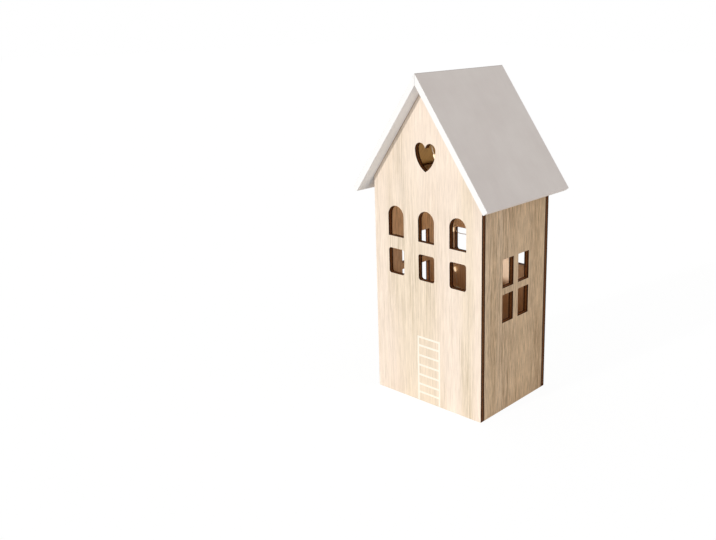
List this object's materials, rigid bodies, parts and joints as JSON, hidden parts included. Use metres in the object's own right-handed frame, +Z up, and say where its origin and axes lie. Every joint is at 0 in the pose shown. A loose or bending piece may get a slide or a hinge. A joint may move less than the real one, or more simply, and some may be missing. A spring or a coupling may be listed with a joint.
{
  "type": "plywood house lantern",
  "caption": "Tall plywood gable house lantern with arched, square and heart cut-outs, white roof, glued-in light wire and a battery case with sliding cover and switch under its floor.",
  "frame": {"origin": "on the table, under the middle of the four walls", "axes": "+X to the right along the front wall, +Y from the front wall to the back wall, +Z up"},
  "size_m": [0.124, 0.098, 0.2437],
  "materials": {
    "plywood": "bare pale plywood with dark laser-cut edges",
    "white_paint": "matt white paint on plywood",
    "case_plastic": "fine matt moulded black",
    "zinc": "zinc plated",
    "cell_sleeve": "plain satin sleeve",
    "nickel": "nickel plated",
    "knob_plastic": "matt moulded",
    "board_green": "satin solder mask",
    "resistor_body": "lacquered, on tinned wires",
    "red_sheath": "satin sheath",
    "black_sheath": "satin sheath",
    "silver_wire": "lacquered bare wire",
    "lit_resin": "clear resin over a warm white lamp",
    "clear_glue": "cloudy hot glue"
  },
  "bodies": {
    "house": {"front_wall": "plywood", "back_wall": "plywood", "left_wall": "plywood", "right_wall": "plywood", "base_plate": "plywood", "roof_left": "white_paint", "roof_right": "white_paint", "battery_case": "case_plastic", "case_screws": "zinc", "battery_1": "cell_sleeve", "battery_2": "cell_sleeve", "bridge_plate": "nickel", "positive_plate": "nickel", "negative_plate": "nickel", "contact_springs": "nickel", "switch_body": "zinc", "switch_pins": "nickel", "driver_board": "board_green", "resistor": "resistor_body", "positive_lead": "red_sheath", "negative_lead": "black_sheath", "led_wire": "silver_wire", "led_beads": "lit_resin", "glue_dots": "clear_glue", "wire_anchor": "clear_glue"},
    "cover": {"battery_cover": "case_plastic"},
    "switch": {"switch_knob": "knob_plastic"}
  },
  "joints": [
    {"name": "cover_slide", "type": "slide", "parent": "house", "child": "cover", "axis": [-1, 0, 0], "range_m": [0, 0.0055]},
    {"name": "switch_slide", "type": "slide", "parent": "house", "child": "switch", "axis": [1, 0, 0], "range_m": [0, 0.003]}
  ]
}
